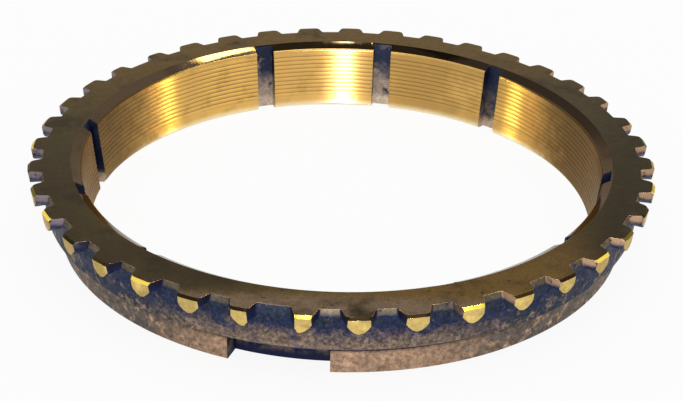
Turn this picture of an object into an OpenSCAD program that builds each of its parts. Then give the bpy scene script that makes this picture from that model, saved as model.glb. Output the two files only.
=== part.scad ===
// Synchronizer ring of a manual gearbox: one brass piece with a friction cone
// inside, pointed blocking teeth round its gear side and key notches in its skirt.
// Millimetres. Z is the axis, the pads stand on z = 0, the toothed face looks up,
// and one key notch is centred on -Y.

/* [Ring] */
// Height from the foot of the pads to the toothed face
ring_h = 11; // [9.6:0.1:13]
// Diameter of the friction cone at its wide mouth
cone_d = 77; // [66:0.1:110]
// Half angle of the friction cone, in degrees
cone_angle = 5.5; // [4.5:0.1:9]
// Radial width of the lead-in bevel at the mouth of the cone
lead_in_w = 1.35; // [0.6:0.05:2]
// Depth of the lead-in bevel
lead_in_h = 0.9; // [0.3:0.05:1.3]
// Bevel at the foot of the cone
foot_bevel = 0.5; // [0.2:0.05:0.9]
// Radial wall from the mouth of the cone out to the root of the teeth
rim_w = 5.7; // [5:0.05:7]
// Height from the lower edge of the rim to the toothed face
rim_h = 6.1; // [5:0.1:7]
// Draft of the wall of the rim, in degrees
rim_draft = 4.7; // [0:0.1:10]

/* [Skirt] */
// Height of the pads that guide the ring in its hub
pad_h = 3.25; // [2.4:0.05:3.8]
// Radial wall from the mouth of the cone out to the face of the pads
pad_w = 3.45; // [3:0.05:4.2]
// Step from the foot of the neck out to the face of the pads
pad_step = 0.35; // [0.1:0.05:0.8]
// Bevel round the top and foot of each pad
pad_bevel = 0.2; // [0.1:0.05:0.5]

/* [Key notches] */
// Number of strut keys, with one notch each
keys = 3; // [2:1:4]
// Width of a key notch across its mouth
key_w = 13.6; // [8:0.1:20]
// Rise of a key notch above the top of the pads
key_rise = 0.3; // [0.1:0.05:0.8]
// Wall left between a key notch and the foot of the cone
key_wall = 1.85; // [1.2:0.05:2.8]

/* [Blocking teeth] */
// Teeth from one key to the next
teeth_per_key = 13; // [8:1:15]
// Radial depth of a tooth from root to tip
tooth_depth = 1.8; // [1:0.05:3]
// Width of a tooth across its tip
tooth_w = 3; // [2:0.05:3.6]
// Slope of the tooth flanks, in degrees
flank_angle = 17; // [5:0.5:25]
// Height of a tooth from the toothed face to its point
tooth_h = 2.55; // [1.9:0.05:3]
// Included angle of the point under each tooth, in degrees
point_angle = 110; // [90:1:150]
// Lean of the tip face towards the axis, in degrees
tip_lean = 7; // [0:0.5:12]
// Radial width of the bevel along the top of each tip
tip_bevel_w = 0.4; // [0.2:0.05:1]
// Depth of the bevel along the top of each tip
tip_bevel_h = 0.3; // [0.1:0.05:0.6]
// Width taken off the teeth that face a key
key_tooth_trim = 0.85; // [0:0.05:1.4]
// Radial width of the bevel along the root of each gap
root_bevel_w = 0.3; // [0.1:0.05:1.2]
// Depth of the bevel along the root of each gap
root_bevel_h = 1; // [0.4:0.05:1.6]

/* [Oil grooves] */
// Oil grooves from one key to the next
grooves_per_key = 3; // [1:1:4]
// Width of an oil groove
groove_w = 3; // [1.5:0.1:4]
// Depth of an oil groove at the mouth of the cone
groove_d = 1.15; // [0.6:0.05:1.4]
// Slope of the floor of an oil groove, in degrees
groove_angle = 3.1; // [2:0.1:5]
// Turn of the oil grooves from an even share between the keys, in degrees
groove_turn = 0.9; // [-3:0.1:3]

/* [Hidden] */
$fn = 180;

// Overlap by which cutting shapes reach past the faces that they open
past = 1;
// Height by which the ring is made too tall, before the toothed face is cut
spare = 0.1;

// Radii, from the cone outwards
mouth_r = cone_d / 2;
foot_r = mouth_r - ring_h * tan(cone_angle);
foot_edge_r = foot_r + foot_bevel * tan(cone_angle);
lead_in_r = mouth_r - lead_in_h * tan(cone_angle);
face_r = mouth_r + lead_in_w;
root_r = mouth_r + rim_w;
rim_foot_r = root_r - (rim_h - root_bevel_h) * tan(rim_draft);
tip_r = root_r + tooth_depth;
pad_r = mouth_r + pad_w;
neck_r = pad_r - pad_step;
key_floor_r = foot_r + key_wall;

// Shares of the circle
key_pitch = 360 / keys;
tooth_pitch = key_pitch / teeth_per_key;
groove_pitch = key_pitch / (grooves_per_key + 1);
key_sweep = 2 * asin(key_w / 2 / pad_r);

// Angle of the key notch that the others are counted from
first_key = -90;

// Half section of the ring without teeth, notches and oil grooves
module ring_section() {
    polygon([
        [foot_edge_r, foot_bevel],
        [foot_r + foot_bevel, 0],
        [pad_r - pad_bevel, 0],
        [pad_r, pad_bevel],
        [pad_r, pad_h - pad_bevel],
        [pad_r - pad_bevel, pad_h],
        [neck_r, pad_h],
        [rim_foot_r, ring_h - rim_h],
        [root_r, ring_h - root_bevel_h],
        [root_r - root_bevel_w - spare * root_bevel_w / root_bevel_h, ring_h + spare],
        [face_r + spare * (face_r - lead_in_r) / lead_in_h, ring_h + spare],
        [lead_in_r, ring_h - lead_in_h],
    ]);
}

// Half section of the band that the tips of the teeth are turned to
module tip_section() {
    foot = ring_h - tooth_h - past;
    lean = (tooth_h + past - tip_bevel_h) * tan(tip_lean);
    polygon([
        [neck_r, foot],
        [tip_r - lean, foot],
        [tip_r, ring_h - tip_bevel_h],
        [tip_r - tip_bevel_w - 2 * spare * tip_bevel_w / tip_bevel_h, ring_h + 2 * spare],
        [neck_r, ring_h + 2 * spare],
    ]);
}

// Plan of one tooth along +X, with its sides set in where it faces a key
module tooth_plan(trim_right, trim_left) {
    reach = tip_r + past;
    spread = (reach - neck_r) * tan(flank_angle);
    outer = tooth_w / 2 - (reach - tip_r) * tan(flank_angle);
    inner = outer + spread;
    polygon([
        [neck_r, trim_right - inner],
        [reach, trim_right - outer],
        [reach, outer - trim_left],
        [neck_r, inner - trim_left],
    ]);
}

// Roof-shaped bar along +X whose ridge points down and gives a tooth its point
module tooth_roof() {
    half = tooth_w + tooth_depth;
    rise = half / tan(point_angle / 2);
    point_z = ring_h - tooth_h;
    rotate([90, 0, 90])
        linear_extrude(tip_r + past)
            polygon([
                [0, point_z],
                [half, point_z + rise],
                [half, ring_h + rise],
                [-half, ring_h + rise],
                [-half, point_z + rise],
            ]);
}

// The row of teeth from one key to the next, which the tip band then trims
module tooth_row() {
    for (i = [0 : teeth_per_key - 1])
        rotate((i + 0.5) * tooth_pitch)
            intersection() {
                linear_extrude(ring_h + past)
                    tooth_plan(
                        i == 0 ? key_tooth_trim : 0,
                        i == teeth_per_key - 1 ? key_tooth_trim : 0
                    );
                tooth_roof();
            }
}

// All blocking teeth, a little taller than the ring that carries them
module blocking_teeth() {
    intersection() {
        rotate_extrude()
            tip_section();
        for (k = [0 : keys - 1])
            rotate(first_key + k * key_pitch)
                tooth_row();
    }
}

// Cut that faces ring and teeth off to one plane
module toothed_face_cut() {
    translate([0, 0, ring_h])
        cylinder(r = tip_r + past, h = past);
}

// Cut for one strut key, on +X, with walls that run to the axis
module key_notch() {
    rotate(-key_sweep / 2)
        rotate_extrude(angle = key_sweep)
            translate([key_floor_r, -past])
                square([tip_r - key_floor_r, pad_h + key_rise + past]);
}

// Cut for one oil groove on +X, from the toothed face to the foot
module oil_groove() {
    floor_top_r = mouth_r + groove_d;
    rise = tan(groove_angle);
    translate([0, groove_w / 2, 0])
        rotate([90, 0, 0])
            linear_extrude(groove_w)
                polygon([
                    [foot_r - past, -past],
                    [floor_top_r - (ring_h + past) * rise, -past],
                    [floor_top_r + past * rise, ring_h + past],
                    [foot_r - past, ring_h + past],
                ]);
}

module synchronizer_ring() {
    color("darkgoldenrod")
        difference() {
            union() {
                rotate_extrude()
                    ring_section();
                blocking_teeth();
            }
            toothed_face_cut();
            for (k = [0 : keys - 1])
                rotate(first_key + k * key_pitch) {
                    key_notch();
                    for (g = [1 : grooves_per_key])
                        rotate(g * groove_pitch + groove_turn)
                            oil_groove();
                }
        }
}

synchronizer_ring();
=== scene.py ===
"""Dresses the synchronizer ring: one brass ring with pointed blocking teeth, a threaded friction cone,
oil grooves and key notches, on a pale floor under soft light. Metres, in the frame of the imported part."""

import bisect
import math

import bmesh
import bpy
from mathutils import Matrix, Vector


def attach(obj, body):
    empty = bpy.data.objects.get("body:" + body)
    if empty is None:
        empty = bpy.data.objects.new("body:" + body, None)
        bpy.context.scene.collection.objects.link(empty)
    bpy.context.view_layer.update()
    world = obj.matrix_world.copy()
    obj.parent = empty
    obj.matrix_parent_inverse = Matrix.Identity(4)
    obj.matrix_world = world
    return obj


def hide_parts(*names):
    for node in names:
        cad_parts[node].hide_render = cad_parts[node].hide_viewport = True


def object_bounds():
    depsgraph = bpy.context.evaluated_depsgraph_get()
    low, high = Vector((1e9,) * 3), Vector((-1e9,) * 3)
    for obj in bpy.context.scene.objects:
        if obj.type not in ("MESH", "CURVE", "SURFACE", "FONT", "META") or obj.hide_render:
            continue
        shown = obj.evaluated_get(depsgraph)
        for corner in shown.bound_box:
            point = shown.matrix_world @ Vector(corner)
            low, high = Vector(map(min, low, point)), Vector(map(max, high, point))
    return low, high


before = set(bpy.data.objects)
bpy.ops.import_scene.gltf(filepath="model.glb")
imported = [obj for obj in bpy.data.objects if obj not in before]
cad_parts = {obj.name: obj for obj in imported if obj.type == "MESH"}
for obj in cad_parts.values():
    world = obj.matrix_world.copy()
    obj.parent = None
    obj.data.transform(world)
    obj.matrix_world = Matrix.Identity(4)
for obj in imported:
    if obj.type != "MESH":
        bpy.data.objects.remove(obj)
CAD_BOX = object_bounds()

bl_info = {
    "name": "Synchronizer Ring",
    "version": (1, 0, 0),
    "blender": (4, 5, 0),
    "location": "3D View > Sidebar > Ring",
    "description": "Builds a brass synchronizer ring and the stage that it is shown on",
    "category": "Object",
}

MM = 0.001
TURN = 2 * math.pi


def length(label, words, mm):
    """A size of the ring, held in metres and given here in millimetres."""
    return bpy.props.FloatProperty(
        name=label, description=words, default=mm * MM, unit="LENGTH", subtype="DISTANCE", precision=5)


def angle(label, words, degrees):
    """An angle of the ring, held in radians and given here in degrees."""
    return bpy.props.FloatProperty(
        name=label, description=words, default=math.radians(degrees), unit="ROTATION", subtype="ANGLE")


def count(label, words, number):
    """How many of a feature there are."""
    return bpy.props.IntProperty(name=label, description=words, default=number, min=1)


def place(label, words, point):
    """A place on the stage, in metres."""
    return bpy.props.FloatVectorProperty(
        name=label, description=words, default=point, unit="LENGTH", subtype="TRANSLATION")


def linear(value):
    """The light that a screen value from 0 to 1 stands for."""
    return value / 12.92 if value <= 0.04045 else ((value + 0.055) / 1.055) ** 2.4


def tint(label, words, red, green, blue):
    """A colour, held linear and given here as the eye's 0 to 255 values."""
    parts = [linear(value / 255) for value in (red, green, blue)]
    return bpy.props.FloatVectorProperty(
        name=label, description=words, default=parts, size=3, min=0, max=1, subtype="COLOR")


class RingSizes(bpy.types.PropertyGroup):
    """Sizes of the ring: those of its solid, with its thread and its worn edges."""

    height: length(
        "Height", "From the foot of the pads to the toothed face", (CAD_BOX[1].z - CAD_BOX[0].z) / MM)
    mouth_r: length("Mouth radius", "Radius of the friction cone at the plane of the toothed face", 38.5)
    cone_angle: angle("Cone angle", "Half angle of the friction cone", 5.5)
    lead_in_w: length("Lead-in width", "Radial width of the bevel at the mouth of the cone", 1.35)
    lead_in_h: length("Lead-in depth", "Depth of the bevel at the mouth of the cone", 0.9)
    mouth_round: length("Mouth rounding", "Reach of the worn rounding between cone and lead-in", 0.2)
    foot_bevel: length("Foot bevel", "Bevel at the foot of the cone", 0.5)
    root_r: length("Root radius", "Radius of the rim at the root of the teeth", 44.2)
    rim_h: length("Rim height", "From the lower edge of the rim to the toothed face", 6.1)
    rim_draft: angle("Rim draft", "Draft of the wall of the rim", 4.7)
    pad_h: length("Pad height", "Height of the skirt pads", 3.25)
    pad_r: length("Pad radius", "Radius of the face of the skirt pads", 41.95)
    pad_step: length("Pad step", "Step from the foot of the neck out to the face of the pads", 0.35)
    pad_bevel: length("Pad bevel", "Bevel round the top and foot of each pad", 0.2)
    keys: count("Keys", "Number of strut keys, with one notch each", 3)
    key_w: length("Key notch width", "Width of a key notch across its mouth", 13.6)
    key_rise: length("Key notch rise", "Rise of a key notch above the top of the pads", 0.3)
    key_wall: length("Key notch wall", "Wall left between a key notch and the foot of the cone", 1.85)
    teeth_per_key: count("Teeth per key", "Blocking teeth from one key to the next", 13)
    tip_r: length("Tip radius", "Radius over the tips of the teeth", 46)
    tooth_w: length("Tooth width", "Width of a tooth across its tip", 3)
    flank_angle: angle("Flank angle", "Slope of the tooth flanks", 17)
    tooth_h: length("Tooth height", "From the toothed face to a tooth's point, before its rounding", 2.77)
    point_angle: angle("Point angle", "Included angle of the point under each tooth", 104)
    tip_lean: angle("Tip lean", "Lean of the tip face towards the axis", 7)
    tip_bevel_w: length("Tip bevel width", "Radial width of the bevel along the top of each tip", 0.4)
    tip_bevel_h: length("Tip bevel depth", "Depth of the bevel along the top of each tip", 0.3)
    key_tooth_trim: length("Key tooth trim", "Width taken off the teeth that face a key", 0.85)
    root_bevel_w: length("Root bevel width", "Radial width of the bevel along the root of each gap", 0.3)
    root_bevel_h: length("Root bevel depth", "Depth of the bevel along the root of each gap", 1)
    grooves_per_key: count("Grooves per key", "Oil grooves from one key to the next", 3)
    groove_w: length("Groove width", "Width of an oil groove", 3)
    groove_d: length("Groove depth", "Depth of an oil groove at the mouth of the cone", 1.15)
    groove_angle: angle("Groove angle", "Slope of the floor of an oil groove", 3.1)
    groove_turn: angle("Groove turn", "Turn of the oil grooves from an even share between the keys", 0.9)
    thread_pitch: length("Thread pitch", "Pitch of the fine thread on the friction cone", 0.7)
    thread_depth: length("Thread depth", "Depth of the fine thread on the friction cone", 0.07)
    lip_h: length("Lip height", "Height of the smooth lip under the thread", 1.85)
    edge: length("Edge rounding", "Width of the worn rounding along the ring's edges", 0.07)
    corner: length("Corner rounding", "Reach of the rounding at the corners of the teeth", 0.5)
    point_round: length("Point rounding", "Reach of the rounding at the points of the teeth", 0.8)
    root_fillet: length("Root fillet", "Reach of the fillet at the roots of the teeth", 0.2)


class RingFinish(bpy.types.PropertyGroup):
    """Colours of the ring's surfaces; several hold painted light and shade."""

    # The toothed face's dark olive is partly its own tone, partly a painted dark reflection of its
    # surroundings
    face: tint("Toothed face", "Machined face that the teeth are flush with", 48, 38, 24)
    olive: tint("Olive bloom", "Olive patches on the toothed face", 58, 50, 26)
    # Painted light: lighter, warmer stretches of the toothed face towards the front and the back
    face_light: tint("Golden face", "Warmer stretches of the toothed face", 89, 67, 32)
    lead_in: tint("Lead-in bevel", "Bevel at the mouth of the cone", 84, 69, 55)
    cone: tint("Friction cone", "Threaded bore", 218, 174, 100)
    # Painted shade: darker stretches of the threaded bore at its sides
    cone_shade: tint("Shaded cone", "Duller stretches of the threaded bore", 114, 88, 53)
    lip: tint("Lip", "Smooth lip at the foot of the cone", 250, 230, 184)
    groove: tint("Oil grooves", "Grey floors of the oil grooves", 162, 146, 130)
    # Dark soil in the oil grooves together with painted shade in them
    groove_soil_and_shade: tint("Soiled grooves", "Dark soil in the oil grooves", 22, 33, 62)
    tip: tint("Tooth tips", "Bright tip faces of the teeth", 216, 187, 113)
    # Painted highlight: bright yellow standing for light glancing off the tip bevels
    tip_bevel: tint("Tip bevels", "Polished bevels along the tips", 246, 214, 90)
    # Dark navy of the tooth flanks: partly painted shade between the teeth, partly blue discolouration
    flank: tint("Tooth flanks", "Dark sides of the teeth", 30, 29, 50)
    # Painted light: lit flanks towards 0 degrees, and lighter rounded edges
    flank_lit: tint("Rubbed flanks", "Rubbed sides and edges of the teeth", 174, 142, 114)
    # Painted light: greyer, lighter flanks towards 185 degrees
    flank_grey_lit: tint("Dull flanks", "Dull grey sides of the teeth", 126, 114, 120)
    facet: tint("Root bevels", "Bevels along the roots of the gaps", 96, 86, 73)
    # Partly a blue stain, partly painted shade under the teeth and on the rim's underside
    stain_and_shade: tint("Blue stain", "Blue-black stain that has settled under the teeth", 17, 37, 81)
    rim: tint("Rim wall", "Mottled wall of the rim", 132, 113, 98)
    # Painted shade: blue-grey on the rim's sides and along the top of its wall
    rim_shade: tint("Blue rim", "Blue-grey stretches of the rim", 40, 50, 70)
    pad: tint("Skirt pads", "Rough cast faces of the pads", 174, 142, 116)
    # Painted shade: greyer stretches on the two sides of the pads
    pad_shade: tint("Dull pads", "Greyer stretches of the pads", 98, 88, 84)
    # Dark navy of the key notches: partly painted shade in the recess, partly a blue coating
    notch: tint("Key notches", "Dark recesses for the strut keys", 12, 22, 58)


class StageSettings(bpy.types.PropertyGroup):
    """Floor, light and camera."""

    floor: tint("Floor", "Pale floor", 238, 238, 238)
    sky: bpy.props.FloatProperty(
        name="Soft light", description="Strength of the light from all round", default=0.65)
    lens: bpy.props.FloatProperty(
        name="Lens", description="Focal length of the camera in millimetres", default=81.72)
    eye: place("Eye", "Place of the camera", (0.03763, -0.20162, 0.11615))
    aim: place("Aim", "Point that the camera looks at", (0.00297, -0.01548, 0.0108))
    roll: angle("Roll", "Turn of the camera about its line of sight", 1.323)


# Rows of one turn of the thread, as shares of its pitch: two at its root, between two at its crest
THREAD_TURNS = 12
THREAD_STEPS = (0.0, 0.16, 0.28, 0.44)
THREAD_ROWS = THREAD_TURNS * len(THREAD_STEPS)

# Rows at each end of the thread over which its depth fades out and its helix levels out
DEPTH_FADE = 4
HELIX_FADE = 6

# The section of the ring is one closed loop of points, named here in order: up the cone, over the
# toothed face, down the teeth and the rim, down the skirt, and back along the foot
ROWS = (
    ["foot_in", "foot_edge"]
    + [f"thread_{u}" for u in range(THREAD_ROWS)]
    + ["mouth_low", "mouth", "mouth_high", "face_in", "face_mid"]
    + ["crown", "brow", "chin", "throat", "wall_1", "wall_2", "wall_3", "wall_4"]
    + ["rim_foot", "under_mid", "under_low", "neck"]
    + ["pad_top", "pad_high", "pad_mid", "pad_waist", "pad_low", "pad_foot", "foot_mid"]
)
ROW = {name: i for i, name in enumerate(ROWS)}
FIRST_THREAD = ROW["thread_0"]
CONE_ROWS = range(ROW["foot_in"], ROW["mouth_high"] + 1)
TOOTH_ROWS = range(ROW["crown"], ROW["throat"] + 1)
SKIRT_ROWS = range(ROW["under_low"], ROW["foot_mid"] + 1)

# Surfaces of the ring, one material to each
FINISHES = [
    "cone", "burnish_and_reflection", "groove", "lead_in", "face", "tip_bevel", "tip", "flank", "facet", "rim",
    "under", "pad", "notch", "foot", "edge_glint",
]

# Heights that keep rows of the grid apart: under the root bevel, under a tooth, and under its point
ROOT_GAP = 0.05 * MM
THROAT_GAP = 0.15 * MM
POINT_GAP = 0.35 * MM

# Angles that keep the columns at the edge and at the foot of a wall apart, and the widest column
GROOVE_SPREAD = math.radians(0.12)
NOTCH_SPREAD = math.radians(0.25)
WIDEST_COLUMN = math.radians(1.35)

# Most of a side that a rounding may take, and the share of its reach by which it lifts a lower corner
ROUNDING_SHARE = 0.45
LIFT_SHARE = 0.55

# Teeth from one whose tip bevel takes a painted highlight to the next
GLINT_BEAT = 3.07

# Edges that turn outward by more than the first angle are rounded; past the second, shading is crisp
ROUNDED_ANGLE = math.radians(30)
CRISP_ANGLE = math.radians(35)

# Share of the floor that is plain white to the camera; the rest takes the ring's shadow
FLOOR_GLOW = 0.92


class RingShape:
    """Says where each point of the ring's grid lies (radius, angle, height), from the ring's sizes."""

    def __init__(self, s):
        self.s = s
        self.mouth_z = s.height - s.lead_in_h
        self.root_z = s.height - s.root_bevel_h
        self.brow_z = s.height - s.tip_bevel_h
        self.point_z = s.height - s.tooth_h
        self.rim_foot_z = s.height - s.rim_h
        self.notch_z = s.pad_h + s.key_rise
        self.neck_r = s.pad_r - s.pad_step
        self.key_floor_r = self.cone_r(0) + s.key_wall
        self.face_r = s.mouth_r + s.lead_in_w
        self.plain = self.plain_section()
        self.marks = {
            "tooth": self.tooth_marks(),
            "groove": self.groove_marks(),
            "notch": self.notch_marks(),
        }
        self.columns = self.column_angles()

    def cone_r(self, z):
        return self.s.mouth_r - (self.s.height - z) * math.tan(self.s.cone_angle)

    def wall_r(self, z):
        """Wall of the rim, with the bevel along its top."""
        if z > self.root_z:
            return self.s.root_r - (z - self.root_z) * self.s.root_bevel_w / self.s.root_bevel_h
        return self.s.root_r - (self.root_z - z) * math.tan(self.s.rim_draft)

    def tip_wall_r(self, z):
        return self.s.tip_r - (self.brow_z - z) * math.tan(self.s.tip_lean)

    def groove_floor_r(self, z):
        return self.s.mouth_r + self.s.groove_d - (self.s.height - z) * math.tan(self.s.groove_angle)

    def under_r(self, z):
        """Slope under the rim, from its lower edge in to the neck."""
        share = (z - self.s.pad_h) / (self.rim_foot_z - self.s.pad_h)
        return self.neck_r + share * (self.wall_r(self.rim_foot_z) - self.neck_r)

    def roof_z(self, across):
        """Underside of a tooth, at this distance across from its point."""
        return self.point_z + abs(across) / math.tan(self.s.point_angle / 2)

    def thread_point(self, u, turn):
        """Radius and height on the thread, where turn runs from 0 to 1 round the helix."""
        s = self.s
        whole, part = divmod(u, len(THREAD_STEPS))
        last = THREAD_ROWS - 1
        ends = min(1, u / HELIX_FADE, (last - u) / HELIX_FADE)
        z = s.lip_h + (whole + THREAD_STEPS[part]) * s.thread_pitch + (turn - 0.5) * s.thread_pitch * ends
        return self.cone_r(z) + self.thread_cut(u) * s.thread_depth, z

    def thread_cut(self, u):
        """Share of the thread's depth on one of its rows: none on a crest, and less near both ends."""
        if u % len(THREAD_STEPS) not in (1, 2):
            return 0
        return min(1, u / DEPTH_FADE, (THREAD_ROWS - 1 - u) / DEPTH_FADE)

    def plain_section(self):
        """Radius and height of each row where there is no tooth, groove or notch."""
        s = self.s
        foot_z = self.rim_foot_z
        points = {
            "foot_in": (self.cone_r(0) + s.foot_bevel, 0),
            "foot_edge": (self.cone_r(s.foot_bevel), s.foot_bevel),
            "face_in": (self.face_r, s.height),
            "face_mid": ((self.face_r + s.root_r) / 2, s.height),
            "rim_foot": (self.wall_r(foot_z), foot_z),
            "under_mid": (self.under_r((foot_z + self.notch_z) / 2), (foot_z + self.notch_z) / 2),
            "under_low": (self.under_r(self.notch_z), self.notch_z),
            "neck": (self.neck_r, s.pad_h),
            "pad_top": (s.pad_r - s.pad_bevel, s.pad_h),
            "pad_high": (s.pad_r, s.pad_h - s.pad_bevel),
            "pad_mid": (s.pad_r, s.pad_h * 0.64),
            "pad_waist": (s.pad_r, s.pad_h * 0.36),
            "pad_low": (s.pad_r, s.pad_bevel),
            "pad_foot": (s.pad_r - s.pad_bevel, 0),
            "foot_mid": (self.key_floor_r - 0.1 * MM, 0),
        }
        for u in range(THREAD_ROWS):
            points[f"thread_{u}"] = self.thread_point(u, 0.5)
        mouth = Vector((self.cone_r(self.mouth_z), self.mouth_z))
        low = Vector((self.cone_r(self.mouth_z - s.mouth_round), self.mouth_z - s.mouth_round))
        high = mouth + (Vector((self.face_r, s.height)) - mouth).normalized() * s.mouth_round
        points["mouth_low"], points["mouth_high"] = tuple(low), tuple(high)
        points["mouth"] = tuple(mouth / 2 + (low + high) / 4)
        levels = {
            "crown": s.height,
            "brow": self.root_z,
            "chin": self.root_z - THROAT_GAP,
            "throat": self.root_z - 2 * THROAT_GAP,
        }
        top = self.point_z - POINT_GAP
        for i in range(4):
            levels[f"wall_{i + 1}"] = top + (foot_z - top) * i / 4
        for name, z in levels.items():
            points[name] = (self.wall_r(z), z)
        return [points[name] for name in ROWS]

    def flank_turn(self, r, trim):
        """Angle from a tooth's middle to its flank, at this radius."""
        s = self.s
        across = s.tooth_w / 2
        for _ in range(6):
            drop = s.tip_r - math.sqrt(r * r - across * across)
            across = s.tooth_w / 2 - trim + drop * math.tan(s.flank_angle)
        return math.asin(across / r)

    def tooth_marks(self):
        """Columns round each tooth: three each at its roots, its corners and its point, to round them."""
        s = self.s
        marks = []
        pitch = TURN / s.keys / s.teeth_per_key
        for tooth in range(s.keys * s.teeth_per_key):
            nth = tooth % s.teeth_per_key
            middle = -math.pi / 2 + (tooth + 0.5) * pitch
            low_trim = s.key_tooth_trim if nth == 0 else 0
            high_trim = s.key_tooth_trim if nth == s.teeth_per_key - 1 else 0
            low = self.root_column(middle, -1, low_trim), self.tip_column(middle, -1, low_trim)
            high = self.tip_column(middle, 1, high_trim), self.root_column(middle, 1, high_trim)
            point = {
                "crown": (s.tip_r - s.tip_bevel_w, middle, s.height),
                "brow": (s.tip_r, middle, self.brow_z),
                "chin": (self.tip_wall_r(self.point_z), middle, self.point_z),
                "throat": (self.wall_r(self.point_z), middle, self.point_z),
            }
            gaps = [
                {name: (r, a + side * pitch / 4, z) for name, (r, a, z) in root.items()}
                for root, side in ((low[0], -1), (high[1], 1))
            ]
            corners = [gaps[0], *low, point, *high, gaps[1]]
            gap = "key_gap" if nth == s.teeth_per_key - 1 else "gap"
            after = ["flank"] * 4 + ["tip"] * 6 + ["flank"] * 4 + [gap]
            at_root, at_corner, at_point = (s.root_fillet, 0), (s.corner, s.corner), (s.point_round, 0)
            roundings = (at_root, at_corner, at_point, at_corner, at_root)
            for i, (reach, lift) in enumerate(roundings, start=1):
                for points in self.rounded(*corners[i - 1:i + 2], reach, lift):
                    marks.append((points["brow"][1], after.pop(0), points))
        return marks

    def rounded(self, before, corner, after, reach, lift):
        """Three columns that take a corner's place and round it off, its lower edge raised by about lift."""
        made = [{}, {}, {}]
        for name, spot in corner.items():
            p, a, b = (
                Vector((r * math.cos(t), r * math.sin(t), z))
                for r, t, z in (spot, before[name], after[name])
            )
            to_a, to_b = (
                (q - p).normalized() * min(reach, (q - p).length * ROUNDING_SHARE) for q in (a, b)
            )
            for column, q in zip(made, (p + to_a, p + (to_a + to_b) / 4, p + to_b)):
                if name == "chin":
                    q.z += lift * LIFT_SHARE * (1 - max(0, (p - q).z) / reach)
                column[name] = (math.hypot(q.x, q.y), math.atan2(q.y, q.x), q.z)
        return made

    def root_column(self, middle, side, trim):
        """Rows of the column where a flank meets the rim."""
        s = self.s
        points = {}
        for name, z in (("crown", s.height), ("brow", self.root_z)):
            r = self.wall_r(z)
            points[name] = (r, middle + side * self.flank_turn(r, trim), z)
        r = s.root_r
        for _ in range(3):
            turn = self.flank_turn(r, trim)
            z = min(self.roof_z(r * math.sin(turn)), self.root_z - ROOT_GAP)
            r = self.wall_r(z)
        points["chin"] = (r, middle + side * turn, z)
        points["throat"] = (self.wall_r(z - THROAT_GAP), middle + side * turn, z - THROAT_GAP)
        return points

    def tip_column(self, middle, side, trim):
        """Rows of the column along a corner of a tip."""
        s = self.s
        points = {}
        for name, r, z in (("crown", s.tip_r - s.tip_bevel_w, s.height), ("brow", s.tip_r, self.brow_z)):
            points[name] = (r, middle + side * self.flank_turn(r, trim), z)
        r = s.tip_r
        for _ in range(3):
            turn = self.flank_turn(r, trim)
            z = self.roof_z(r * math.sin(turn))
            r = self.tip_wall_r(z)
        points["chin"] = (r, middle + side * turn, z)
        turn = self.flank_turn(s.tip_r, trim)
        r = s.root_r
        for _ in range(3):
            z = self.roof_z(r * math.sin(turn))
            r = self.wall_r(z)
        points["throat"] = (r, middle + side * turn, z)
        return points

    def groove_marks(self):
        """Columns along the two walls of each oil groove, at their edges and at their feet."""
        s = self.s
        marks = []
        half = s.groove_w / 2
        share = TURN / s.keys / (s.grooves_per_key + 1)
        middles = [
            -math.pi / 2 + k * TURN / s.keys + (g + 1) * share + s.groove_turn
            for k in range(s.keys)
            for g in range(s.grooves_per_key)
        ]
        slope = s.lead_in_h / (self.face_r - self.cone_r(self.mouth_z))
        # The helix starts over inside the first groove, so the walls there lie a whole turn apart
        seam = middles[0]
        after = {
            (-1, "edge"): "wall", (-1, "floor"): "floor", (1, "floor"): "wall", (1, "edge"): "cone",
        }
        for middle in middles:
            for side, walls in ((-1, ("edge", "floor")), (1, ("floor", "edge"))):
                for wall in walls:
                    turn = (middle + side * 1e-3 - seam) % TURN / TURN
                    points = {}
                    for row in CONE_ROWS:
                        name = ROWS[row]
                        r, z = self.plain[row]
                        if name.startswith("thread"):
                            r, z = self.thread_point(row - FIRST_THREAD, turn)
                        if wall == "floor":
                            x = self.groove_floor_r(z)
                            if name == "mouth_high":
                                z = s.height - slope * (self.face_r - x)
                                x = self.groove_floor_r(z)
                            r = math.hypot(x, half)
                        points[name] = (r, middle + side * math.asin(half / r), z)
                    spread = GROOVE_SPREAD if wall == "edge" else -GROOVE_SPREAD
                    base = middle + side * (math.asin(half / self.groove_floor_r(0)) + spread)
                    marks.append((base, after[(side, wall)], points))
        return marks

    def notch_marks(self):
        """Columns along the two walls of each key notch, on the pad and in the recess."""
        s = self.s
        marks = []
        sweep = math.asin(s.key_w / 2 / s.pad_r)
        after = {
            (-1, "pad"): "wall", (-1, "recess"): "recess", (1, "recess"): "wall", (1, "pad"): "pad",
        }
        recess = {
            "under_low": self.plain[ROW["under_low"]],
            "neck": (self.key_floor_r, self.notch_z),
            "pad_top": (self.key_floor_r, s.pad_h - 0.35 * MM),
            "pad_high": (self.key_floor_r, s.pad_h - 0.6 * MM),
            "pad_mid": (self.key_floor_r, s.pad_h * 0.55),
            "pad_waist": (self.key_floor_r, s.pad_h * 0.3),
            "pad_low": (self.key_floor_r, s.pad_bevel),
            "pad_foot": (self.key_floor_r, 0),
            "foot_mid": (self.key_floor_r - 0.8 * MM, 0),
        }
        for k in range(s.keys):
            middle = -math.pi / 2 + k * TURN / s.keys
            for side, walls in ((-1, ("pad", "recess")), (1, ("recess", "pad"))):
                for wall in walls:
                    spread = NOTCH_SPREAD if wall == "pad" else -NOTCH_SPREAD
                    base = middle + side * (sweep + spread)
                    points = {}
                    for row in SKIRT_ROWS:
                        name = ROWS[row]
                        r, z = recess[name] if wall == "recess" else self.plain[row]
                        points[name] = (r, base if name == "foot_mid" else middle + side * sweep, z)
                    marks.append((base, after[(side, wall)], points))
        return marks

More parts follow.
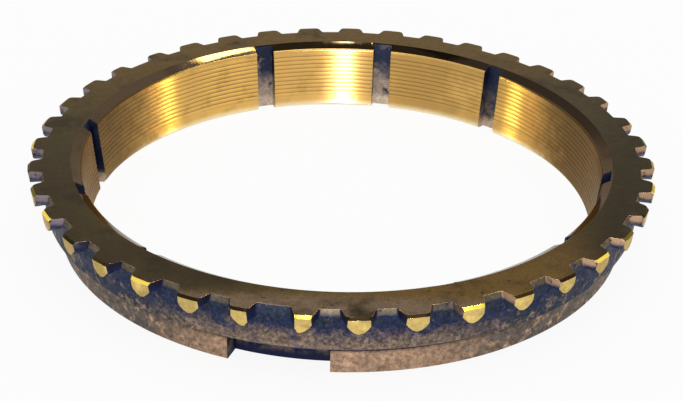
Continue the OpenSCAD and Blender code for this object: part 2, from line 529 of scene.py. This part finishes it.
    def wear(self, turn):
        """Painted highlight on the tip bevel of the tooth at this angle, 0 to 1: about every third tooth has
        it.
        """
        teeth = self.s.keys * self.s.teeth_per_key
        tooth = math.floor((turn + math.pi / 2) / TURN * teeth)
        from_front = (tooth + teeth // 2) % teeth - teeth // 2
        return 0.5 + 0.5 * math.cos(TURN / GLINT_BEAT * from_front)

    def column_angles(self):
        """Angles of all columns: those of the marks, and more where they are far apart."""
        own = sorted(mark[0] % TURN for marks in self.marks.values() for mark in marks)
        full = []
        for a, b in zip(own, own[1:] + [own[0] + TURN]):
            parts = max(1, math.ceil((b - a) / WIDEST_COLUMN))
            full += [a + (b - a) * i / parts for i in range(parts)]
        return full

    def family(self, kind):
        """Marks of one kind in order round the ring, with one more at each end to close the circle."""
        marks = sorted((mark[0] % TURN, mark[1], mark[2]) for mark in self.marks[kind])
        first, last = marks[0], marks[-1]
        return [(last[0] - TURN, last[1], last[2]), *marks, (first[0] + TURN, first[1], first[2])]


def near(value, target):
    """The same direction as value, within half a turn of target."""
    return target + (value - target + math.pi) % TURN - math.pi


class RingGrid:
    """Turns the shape into grid points and names the surface that each face of the grid is part of."""

    def __init__(self, shape):
        self.shape = shape
        self.families = {kind: shape.family(kind) for kind in shape.marks}
        self.starts = {kind: [m[0] for m in marks] for kind, marks in self.families.items()}

    def pair(self, kind, turn):
        i = bisect.bisect_right(self.starts[kind], turn + 1e-9) - 1
        return self.families[kind][i], self.families[kind][i + 1]

    def point(self, row, turn):
        kinds = (("groove", CONE_ROWS), ("tooth", TOOTH_ROWS), ("notch", SKIRT_ROWS))
        kind = next((k for k, rows in kinds if row in rows), None)
        r, z = self.shape.plain[row]
        if kind:
            before, after = self.pair(kind, turn)
            share = (turn - before[0]) / (after[0] - before[0])
            r0, a0, z0 = before[2][ROWS[row]]
            r1, a1, z1 = after[2][ROWS[row]]
            a0, a1 = near(a0, turn), near(a1, turn)
            r, turn, z = r0 + (r1 - r0) * share, a0 + (a1 - a0) * share, z0 + (z1 - z0) * share
        return Vector((r * math.cos(turn), r * math.sin(turn), z))

    def finish(self, row, turn):
        """Finish of the face that lies above this row and after this column."""
        name = ROWS[row]
        groove, tooth, notch = (self.pair(kind, turn)[0][1] for kind in ("groove", "tooth", "notch"))
        if name in ("foot_in", "mouth_low", "mouth"):
            return "burnish_and_reflection" if groove == "cone" else "groove"
        if name == "foot_edge" or name.startswith("thread"):
            return "cone" if groove == "cone" else "groove"
        if name == "mouth_high":
            return "lead_in"
        if name in ("face_in", "face_mid"):
            return "face"
        if name in ("crown", "brow", "chin"):
            if tooth == "flank":
                return "flank"
            if tooth == "tip":
                return {"crown": "tip_bevel", "brow": "tip", "chin": "flank"}[name]
            return "facet" if name == "crown" and tooth == "gap" else "rim"
        if name == "throat" or name.startswith("wall"):
            return "rim"
        if name in ("rim_foot", "under_mid"):
            return "under"
        if name in ("pad_foot", "foot_mid"):
            return "foot"
        if name == "under_low":
            return "under" if notch == "pad" else "notch"
        return "pad" if notch == "pad" else "notch"


def ring_mesh(sizes):
    """The ring as one closed mesh: its section is spun round the axis, the grid is then set to teeth,
    grooves, thread and notches, and its edges are rounded."""
    shape = RingShape(sizes)
    grid = RingGrid(shape)
    bm = bmesh.new()
    row_of = bm.verts.layers.int.new("row")
    loop = []
    for i, (r, z) in enumerate(shape.plain):
        vert = bm.verts.new((r, 0, z))
        vert[row_of] = i
        loop.append(vert)
    section = [bm.edges.new((a, b)) for a, b in zip(loop, loop[1:] + loop[:1])]
    steps = len(shape.columns)
    bmesh.ops.spin(
        bm, geom=loop + section, cent=(0, 0, 0), axis=(0, 0, 1), angle=TURN, steps=steps, use_merge=True)
    soil_and_shade = bm.verts.layers.float.new("soil_and_shade")
    wear = bm.verts.layers.float.new("wear")
    places = {}
    for vert in bm.verts:
        column = round(math.atan2(vert.co.y, vert.co.x) % TURN / TURN * steps) % steps
        places[vert] = (vert[row_of], column)
    for face in bm.faces:
        rows, columns = zip(*(places[v] for v in face.verts))
        row = len(ROWS) - 1 if {0, len(ROWS) - 1} <= set(rows) else min(rows)
        column = steps - 1 if {0, steps - 1} <= set(columns) else min(columns)
        face.material_index = FINISHES.index(grid.finish(row, shape.columns[column]))
    for vert, (row, column) in places.items():
        turn = shape.columns[column]
        vert.co = grid.point(row, turn)
        vert[wear] = shape.wear(turn)
        if ROWS[row].startswith("thread"):
            vert[soil_and_shade] = shape.thread_cut(row - FIRST_THREAD)
    bmesh.ops.remove_doubles(bm, verts=bm.verts, dist=1e-7)
    bmesh.ops.recalc_face_normals(bm, faces=bm.faces)
    mark_sharp(bm, round_edges(bm, shape))
    mesh = bpy.data.meshes.new("brass_ring")
    bm.to_mesh(mesh)
    bm.free()
    return mesh


def edge_finishes(edge):
    """Names of the finishes on the two sides of an edge."""
    return {FINISHES[face.material_index] for face in edge.link_faces}


def round_edges(bm, shape):
    """Rounds the ring's outward edges a little, all but those of the thread. Round the toothed face and
    along the lower edge of the rim, the rounding takes a painted highlight. Returns the strips that this
    makes."""
    s = shape.s
    left = ({"cone"}, {"flank"}, {"tip"}, {"face"})
    outward = [
        e for e in bm.edges
        if edge_finishes(e) not in left and e.calc_face_angle_signed(0) > ROUNDED_ANGLE
    ]
    made = bmesh.ops.bevel(
        bm, geom=outward, offset=s.edge, offset_type="OFFSET", affect="EDGES", segments=2, profile=0.5,
        material=-1, clamp_overlap=True)
    near_edge = 1.5 * s.edge
    for face in made["faces"]:
        middle = face.calc_center_median()
        r = middle.xy.length
        inside = shape.face_r + near_edge < r < s.tip_r - s.tip_bevel_w - near_edge
        on_face = inside and middle.z > s.height - near_edge
        on_rim = abs(middle.z - shape.rim_foot_z) < near_edge and r > shape.neck_r
        # Painted highlight: these rounded strips take the lighter edge_glint colour
        if on_face or on_rim:
            face.material_index = FINISHES.index("edge_glint")
    return set(made["faces"])


def mark_sharp(bm, strips):
    """Shades the ring smooth, but keeps flat faces apart from the strips that round their edges, and the
    thread's crests from its roots."""
    for edge in bm.edges:
        kinds = {face in strips for face in edge.link_faces}
        corner = edge.calc_face_angle(0) > CRISP_ANGLE
        edge.smooth = not (corner or len(kinds) == 2 or edge_finishes(edge) == {"face", "lead_in"})
    for face in bm.faces:
        face.smooth = True


class Nodes:
    """A material's node tree, with a short way to add a node and link its inputs."""

    def __init__(self, tree):
        self.tree = tree
        tree.nodes.clear()

    def add(self, kind, inputs=(), **settings):
        node = self.tree.nodes.new(kind)
        for key, value in settings.items():
            setattr(node, key, value)
        for key, value in dict(inputs).items():
            if isinstance(value, bpy.types.NodeSocket):
                self.tree.links.new(value, node.inputs[key])
            else:
                node.inputs[key].default_value = value
        return node

    def noise(self, where, scale, detail=4.0, roughness=0.6):
        inputs = {"Vector": where, "Scale": scale, "Detail": detail, "Roughness": roughness}
        return self.add("ShaderNodeTexNoise", inputs).outputs["Fac"]

    def ramp(self, value, low, high, to_low=0.0, to_high=1.0):
        inputs = {
            "Value": value, "From Min": low, "From Max": high, "To Min": to_low, "To Max": to_high,
        }
        made = self.add("ShaderNodeMapRange", inputs, interpolation_type="SMOOTHSTEP")
        return made.outputs["Result"]

    def mix(self, factor, first, second, blend="MIX"):
        inputs = {0: factor, 6: first, 7: second}
        return self.add("ShaderNodeMix", inputs, data_type="RGBA", blend_type=blend).outputs[2]

    def maths(self, operation, first, second):
        return self.add("ShaderNodeMath", {0: first, 1: second}, operation=operation).outputs[0]


def rgba(colour, share=1.0):
    """A colour as the four numbers that a socket takes, made darker or lighter by share."""
    return (*(min(1.0, c * share) for c in colour), 1.0)


def finish_material(name, base, layers, metallic, roughness, bump, grain=None, soil_and_shade=0.0, turned=None,
                    drawn=False, glance=(0.85, 0.8, 0.7), gloss=0.5):
    """A brass surface: layers of other colours over a base colour, with uneven roughness and a fine relief.

    Each layer is (colour, kind, low, high, ...), where the colour comes in from low to high. "patch" takes
    the scale of a noise, "height" an uneven width in metres, and "toward" that width and a compass angle in
    degrees; "wear" goes by the tooth. Roughness is (low, high), bump is (scale, depth in metres), grain is
    (scale, share) of a fine speckle, soil is how far the thread's roots darken, and turned is the pitch of
    turning marks in metres. Drawn stretches highlights across the thread, glance is the tint of its
    reflection at a glancing view, and gloss is the strength of its clear reflection."""
    material = bpy.data.materials.new(name)
    material.use_nodes = True
    nodes = Nodes(material.node_tree)
    where = nodes.add("ShaderNodeTexCoord").outputs["Object"]
    colour = rgba(base)
    for tone, kind, low, high, *rest in layers:
        if kind == "patch":
            value = nodes.noise(where, rest[0])
        elif kind == "wear":
            value = nodes.add("ShaderNodeAttribute", attribute_name="wear").outputs["Fac"]
        else:
            turn = math.radians(rest[1]) if kind == "toward" else 0.0
            along = (math.cos(turn), math.sin(turn), 0.0) if kind == "toward" else (0.0, 0.0, 1.0)
            reach = nodes.add("ShaderNodeVectorMath", {0: where, 1: along}, operation="DOT_PRODUCT")
            uneven = nodes.maths("SUBTRACT", nodes.noise(where, 520, 8.0, 0.7), 0.5)
            spread = nodes.maths("MULTIPLY", uneven, rest[0] * 2)
            value = nodes.maths("ADD", reach.outputs["Value"], spread)
        colour = nodes.mix(nodes.ramp(value, low, high), colour, rgba(tone))
    if grain:
        fine = nodes.noise(where, grain[0], 3.0, 0.7)
        speckle = nodes.ramp(fine, 0.25, 0.75, 1 - grain[1], 1 + grain[1])
        colour = nodes.mix(1.0, colour, speckle, "MULTIPLY")
    # Thread roots darkened, partly by soil and partly by painted shade
    if soil_and_shade:
        depth = nodes.add("ShaderNodeAttribute", attribute_name="soil_and_shade").outputs["Fac"]
        colour = nodes.mix(nodes.ramp(depth, 0.2, 1.0, 0.0, soil_and_shade), colour, rgba(base, 0.1))
    relief = nodes.noise(where, bump[0], 6.0, 0.65)
    if turned:
        inputs = {
            "Vector": where, "Scale": 0.1 * math.pi / turned, "Distortion": 1.5, "Detail": 2.0,
            "Detail Scale": 1.5,
        }
        rings = nodes.add("ShaderNodeTexWave", inputs, wave_type="RINGS", rings_direction="Z")
        relief = nodes.maths("ADD", relief, nodes.maths("MULTIPLY", rings.outputs["Fac"], 0.6))
    normal = nodes.add("ShaderNodeBump", {"Strength": 0.8, "Distance": bump[1], "Height": relief})
    rough = nodes.ramp(nodes.noise(where, bump[0] * 0.4), 0.3, 0.7, *roughness)
    shader = nodes.add("ShaderNodeBsdfPrincipled", {
        "Base Color": colour, "Metallic": metallic, "Roughness": rough, "Normal": normal.outputs["Normal"],
        "Specular Tint": (*glance, 1.0), "Specular IOR Level": gloss,
    })
    if drawn:
        up = (0.0, 0.0, 1.0)
        around = nodes.add("ShaderNodeVectorMath", {0: up, 1: where}, operation="CROSS_PRODUCT")
        nodes.tree.links.new(around.outputs["Vector"], shader.inputs["Tangent"])
        shader.inputs["Anisotropic"].default_value = 1.0
        shader.inputs["Anisotropic Rotation"].default_value = 0.25
    nodes.add("ShaderNodeOutputMaterial", {"Surface": shader.outputs[0]})
    return material


def shade(colour, share):
    """The same colour, darker or lighter."""
    return rgba(colour, share)[:3]


def ring_materials(c):
    """One material for each surface of the ring, in the order of FINISHES."""
    made = {
        "cone": finish_material(
            "threaded_cone", c.cone,
            # Painted shade: the bore darker towards 35 degrees, and in cone_shade towards 15 and 185 degrees
            [(shade(c.cone, 0.75), "toward", 0.01, 0.026, 0.003, 35),
             (shade(c.cone, 0.75), "patch", 0.5, 0.75, 260),
             (shade(c.cone, 1.2), "patch", 0.5, 0.8, 90),
             (c.lip, "height", 0.0014, 0.0002, 0.0002),
             (c.cone_shade, "toward", 0.031, 0.037, 0.003, 15),
             (c.cone_shade, "toward", 0.028, 0.039, 0.003, 185)],
            1.0, (0.3, 0.34), (2600, 6e-7), soil_and_shade=0.45, drawn=True),
        "burnish_and_reflection": finish_material(
            # Painted reflection on the rounded edges: a dark base, lighter on the far side towards 100
            # degrees
            "burnished_edge_and_reflection", shade(c.cone_shade, 0.5),
            [(shade(c.cone, 0.8), "toward", 0.024, 0.031, 0.001, 100),
             (c.lip, "height", 0.003, 0.001, 0.0002)],
            1.0, (0.2, 0.3), (2600, 2e-6)),
        "groove": finish_material(
            "oil_groove", c.groove,
            # Soil and painted shade: darker towards the top of each groove
            [(c.groove_soil_and_shade, "height", 0.002, 0.0075, 0.005),
             (shade(c.groove, 0.7), "patch", 0.5, 0.62, 260),
             (c.groove_soil_and_shade, "patch", 0.54, 0.66, 420),
             # Painted shade: grooves darker towards 30 and 190 degrees
             (c.groove_soil_and_shade, "toward", 0.027, 0.037, 0.006, 30),
             (c.groove_soil_and_shade, "toward", 0.03, 0.036, 0.003, 190),
             # Painted highlight: lighter towards the foot of each groove
             (shade(c.groove, 1.4), "height", 0.0024, 0.001, 0.0008)],
            0.6, (0.4, 0.65), (1800, 2e-5), grain=(1500, 0.3)),
        "lead_in": finish_material(
            "lead_in_bevel", c.lead_in,
            [(shade(c.lead_in, 0.6), "patch", 0.45, 0.75, 160),
             # Painted dark reflection: the lead-in turns dark brown towards 60 degrees and near-black
             # towards 97
             (shade(c.lead_in, 0.35), "toward", 0.022, 0.033, 0.002, 60),
             (shade(c.face, 0.25), "toward", 0.0345, 0.0362, 0.0006, 97)],
            1.0, (0.06, 0.12), (2500, 6e-7), turned=0.00022, glance=(0.65, 0.6, 0.55)),
        "face": finish_material(
            "toothed_face", c.face,
            [(c.olive, "patch", 0.42, 0.7, 60),
             # Painted light: the face lighter towards -60 and 110 degrees
             (c.face_light, "toward", 0.029, 0.0415, 0.003, -60),
             (shade(c.face_light, 0.9), "toward", 0.006, 0.04, 0.003, 110),
             # Painted highlight: a lighter spot at the outer edge towards -80 degrees
             (shade(c.lead_in, 1.5), "toward", 0.0395, 0.0425, 0.002, -80),
             # Painted shade: the face darker towards -2 degrees
             (shade(c.face, 0.55), "toward", 0.0345, 0.0415, 0.002, -2),
             (shade(c.face, 0.6), "patch", 0.5, 0.72, 130),
             (shade(c.face, 1.7), "patch", 0.55, 0.8, 210),
             (shade(c.face, 0.45), "patch", 0.6, 0.75, 900)],
            0.95, (0.3, 0.46), (2400, 4e-6), grain=(3200, 0.25), turned=0.0003),
        "tip_bevel": finish_material(
            "tip_bevel", c.tip_bevel,
            [(shade(c.tip_bevel, 0.5), "patch", 0.5, 0.7, 300),
             # Painted highlight kept on about every third tooth by wear; other bevels take the face colour
             (shade(c.face, 0.8), "wear", 0.75, 0.3)],
            1.0, (0.12, 0.24), (2600, 3e-6)),
        "tip": finish_material(
            "tooth_tip", c.tip,
            # Painted shade: the tips darker away from -70 degrees
            [(shade(c.tip, 0.68), "toward", 0.045, 0.034, 0.003, -70),
             (shade(c.tip, 0.7), "patch", 0.48, 0.72, 600),
             (shade(c.tip, 1.2), "patch", 0.5, 0.7, 350)],
            1.0, (0.26, 0.42), (2600, 8e-6), grain=(1600, 0.15)),
        "flank": finish_material(
            "tooth_flank", c.flank,
            # Painted light on the flanks: flank_lit towards 0 degrees, flank_grey_lit towards 185 degrees
            [(c.flank_lit, "toward", 0.018, 0.03, 0.006, 0),
             (c.flank_grey_lit, "toward", 0.03, 0.038, 0.004, 185),
             # Stain and painted shade: darker low on the flanks
             (c.stain_and_shade, "height", 0.0104, 0.0097, 0.0006),
             (shade(c.flank, 0.6), "patch", 0.55, 0.68, 700)],
            0.6, (0.35, 0.6), (1900, 1.6e-5), gloss=0.25),
        "facet": finish_material(
            "root_bevel", c.facet,
            [(shade(c.facet, 1.3), "patch", 0.5, 0.62, 170),
             # Stain and painted shade: darker low on the root bevels
             (c.stain_and_shade, "height", 0.0104, 0.0099, 0.0006),
             (c.stain_and_shade, "patch", 0.56, 0.7, 520)],
            0.6, (0.35, 0.6), (1900, 1.6e-5), grain=(2200, 0.35), gloss=0.25),
        "rim": finish_material(
            "rim_wall", c.rim,
            # Painted shade: rim_shade on the sides; the rim's own colour stays at -82 and comes back at 98
            # degrees
            [(c.rim_shade, "toward", 0.0435, 0.035, 0.008, -82),
             (c.rim, "toward", 0.008, 0.028, 0.008, 98),
             (shade(c.rim, 1.25), "patch", 0.48, 0.7, 500),
             # Stain and painted shade: darker towards the top of the rim wall, under the teeth
             (c.stain_and_shade, "height", 0.0054, 0.0088, 0.0045),
             # Painted shade: rim_shade along the top of the wall, between the teeth
             (c.rim_shade, "height", 0.0078, 0.0098, 0.006),
             (shade(c.rim, 0.7), "patch", 0.6, 0.75, 1500)],
            0.4, (0.45, 0.7), (1500, 6e-5), grain=(2000, 0.7), gloss=0.25),
        "under": finish_material(
            # Stain and painted shade: the rim's underside, which faces down
            "rim_underside", c.stain_and_shade, [(shade(c.rim, 0.6), "patch", 0.5, 0.7, 700)],
            0.5, (0.5, 0.75), (1500, 4e-5), grain=(2600, 0.4), gloss=0.25),
        "pad": finish_material(
            "cast_pad", c.pad,
            # Painted shade: pads greyer on the sides; their own colour stays at -82 and comes back at 98
            # degrees
            [(c.pad_shade, "toward", 0.0405, 0.034, 0.004, -82),
             (c.pad, "toward", 0.008, 0.028, 0.006, 98),
             (shade(c.pad, 0.55), "patch", 0.5, 0.72, 300),
             (shade(c.pad, 1.3), "patch", 0.52, 0.7, 700)],
            0.35, (0.5, 0.75), (1500, 8e-5), grain=(1500, 0.5)),
        "notch": finish_material(
            "key_notch", c.notch,
            [(shade(c.rim, 0.75), "patch", 0.42, 0.6, 420),
             (c.notch, "height", 0.0018, 0.0006, 0.0008)],
            0.5, (0.45, 0.7), (1500, 4e-5), gloss=0.25),
        "foot": finish_material(
            "pad_foot", c.pad, [(shade(c.face, 0.8), "patch", 0.5, 0.75, 240)],
            0.7, (0.4, 0.6), (1800, 2e-5)),
        "edge_glint": finish_material(
            # Painted highlight: a lighter colour along rounded edges
            "painted_edge_highlight", c.flank_lit, [(c.facet, "patch", 0.45, 0.6, 500)],
            0.9, (0.3, 0.45), (2400, 5e-6)),
    }
    return [made[name] for name in FINISHES]


class SYNCHRO_OT_ring(bpy.types.Operator):
    """Build the brass ring"""

    bl_idname = "synchro.ring"
    bl_label = "Brass Ring"

    def execute(self, context):
        mesh = ring_mesh(context.scene.synchro_sizes)
        for material in ring_materials(context.scene.synchro_finish):
            mesh.materials.append(material)
        ring = bpy.data.objects.new("brass_ring", mesh)
        context.scene.collection.objects.link(ring)
        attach(ring, "root")
        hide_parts("synchronizer_ring")
        return {"FINISHED"}


def area_lamp(context, name, turn, rise, distance, size, radiance, colour=(1, 1, 1), glint=False):
    """A rectangular soft box that looks at the ring, placed by compass angle and elevation in degrees.
    A glint lamp only makes highlights."""
    a, e = math.radians(turn), math.radians(rise)
    away = Vector((math.cos(a) * math.cos(e), math.sin(a) * math.cos(e), math.sin(e)))
    data = bpy.data.lights.new(name, "AREA")
    data.shape = "RECTANGLE"
    data.size, data.size_y = size
    data.energy = radiance * math.pi * size[0] * size[1]
    data.color = colour
    lamp = bpy.data.objects.new(name, data)
    lamp.visible_diffuse = not glint
    lamp.visible_camera = False
    facing = away.to_track_quat("Z", "Y").to_matrix().to_4x4()
    lamp.matrix_world = Matrix.Translation(away * distance) @ facing
    context.scene.collection.objects.link(lamp)


def seen_rays(nodes):
    """1 for the rays that show the background: to the camera, in reflections and through glass."""
    path = nodes.add("ShaderNodeLightPath").outputs
    both = nodes.maths("MAXIMUM", path["Is Camera Ray"], path["Is Glossy Ray"])
    return nodes.maths("MAXIMUM", both, path["Is Transmission Ray"])


class SYNCHRO_OT_stage(bpy.types.Operator):
    """Build the floor, the light and the camera"""

    bl_idname = "synchro.stage"
    bl_label = "Stage"

    def execute(self, context):
        stage = context.scene.synchro_stage
        self.floor(context, stage)
        self.world(context, stage)
        self.lamps(context)
        self.camera(context, stage)
        context.scene.view_settings.view_transform = "Standard"
        return {"FINISHED"}

    def floor(self, context, stage):
        bm = bmesh.new()
        bmesh.ops.create_grid(bm, x_segments=1, y_segments=1, size=3)
        mesh = bpy.data.meshes.new("floor")
        bm.to_mesh(mesh)
        bm.free()
        material = bpy.data.materials.new("pale_floor")
        material.use_nodes = True
        nodes = Nodes(material.node_tree)
        matt = nodes.add("ShaderNodeBsdfDiffuse", {"Color": rgba(stage.floor)})
        glow = nodes.add("ShaderNodeEmission", {"Color": (1, 1, 1, 1), "Strength": 1.0})
        share = nodes.maths("MULTIPLY", seen_rays(nodes), FLOOR_GLOW)
        both = nodes.add("ShaderNodeMixShader", {0: share, 1: matt.outputs[0], 2: glow.outputs[0]})
        nodes.add("ShaderNodeOutputMaterial", {"Surface": both.outputs[0]})
        mesh.materials.append(material)
        floor = bpy.data.objects.new("floor", mesh)
        context.scene.collection.objects.link(floor)

    def world(self, context, stage):
        world = bpy.data.worlds.new("studio")
        world.use_nodes = True
        nodes = Nodes(world.node_tree)
        soft = nodes.add("ShaderNodeBackground", {"Color": (1, 1, 1, 1), "Strength": stage.sky})
        white = nodes.add("ShaderNodeBackground", {"Color": (1, 1, 1, 1), "Strength": 1.0})
        share = seen_rays(nodes)
        both = nodes.add("ShaderNodeMixShader", {0: share, 1: soft.outputs[0], 2: white.outputs[0]})
        nodes.add("ShaderNodeOutputWorld", {"Surface": both.outputs[0]})
        context.scene.world = world

    def lamps(self, context):
        yellow, straw = (1.0, 0.95, 0.35), (1.0, 0.95, 0.45)
        area_lamp(context, "flash", turn=-79.4, rise=14, distance=0.6, size=(0.042, 0.13), radiance=190,
                  glint=True)
        area_lamp(context, "right_strip", turn=9.5, rise=13, distance=0.9, size=(0.045, 0.2), radiance=60,
                  colour=yellow, glint=True)
        area_lamp(context, "left_strip", turn=-165.5, rise=13, distance=0.9, size=(0.05, 0.2), radiance=55,
                  colour=yellow, glint=True)
        area_lamp(context, "back_panel", turn=40, rise=67, distance=1.2, size=(0.2, 0.24), radiance=45,
                  colour=straw, glint=True)
        area_lamp(context, "roof_spot", turn=100, rise=86.5, distance=1.2, size=(0.05, 0.05), radiance=600,
                  glint=True)
        area_lamp(context, "overhead", turn=-60, rise=80, distance=1.3, size=(0.9, 0.9), radiance=1.6)

    def camera(self, context, stage):
        eye, aim = Vector(stage.eye), Vector(stage.aim)
        back = (eye - aim).normalized()
        right = Vector((0, 0, 1)).cross(back).normalized()
        up = back.cross(right)
        across = right * math.cos(stage.roll) + up * math.sin(stage.roll)
        above = up * math.cos(stage.roll) - right * math.sin(stage.roll)
        data = bpy.data.cameras.new("camera")
        data.lens, data.sensor_width, data.clip_start = stage.lens, 36, 0.001
        camera = bpy.data.objects.new("camera", data)
        turn = Matrix((across, above, back)).transposed().to_4x4()
        camera.matrix_world = Matrix.Translation(eye) @ turn
        context.scene.collection.objects.link(camera)
        context.scene.camera = camera


class SYNCHRO_PT_panel(bpy.types.Panel):
    """Sidebar panel of the ring"""

    bl_idname = "SYNCHRO_PT_panel"
    bl_label = "Synchronizer Ring"
    bl_space_type = "VIEW_3D"
    bl_region_type = "UI"
    bl_category = "Ring"

    def draw(self, context):
        layout = self.layout
        scene = context.scene
        for label, group in (("Sizes", scene.synchro_sizes), ("Finish", scene.synchro_finish),
                             ("Stage", scene.synchro_stage)):
            box = layout.box()
            box.label(text=label)
            for name in group.__annotations__:
                box.prop(group, name)
        for operator in (SYNCHRO_OT_ring, SYNCHRO_OT_stage):
            layout.operator(operator.bl_idname)


CLASSES = (RingSizes, RingFinish, StageSettings, SYNCHRO_OT_ring, SYNCHRO_OT_stage, SYNCHRO_PT_panel)
GROUPS = {"synchro_sizes": RingSizes, "synchro_finish": RingFinish, "synchro_stage": StageSettings}


def register():
    for item in CLASSES:
        bpy.utils.register_class(item)
    for name, group in GROUPS.items():
        setattr(bpy.types.Scene, name, bpy.props.PointerProperty(type=group))


def unregister():
    for name in GROUPS:
        delattr(bpy.types.Scene, name)
    for item in reversed(CLASSES):
        bpy.utils.unregister_class(item)


def main():
    register()
    bpy.ops.synchro.stage()
    bpy.ops.synchro.ring()


if __name__ == "__main__":
    main()
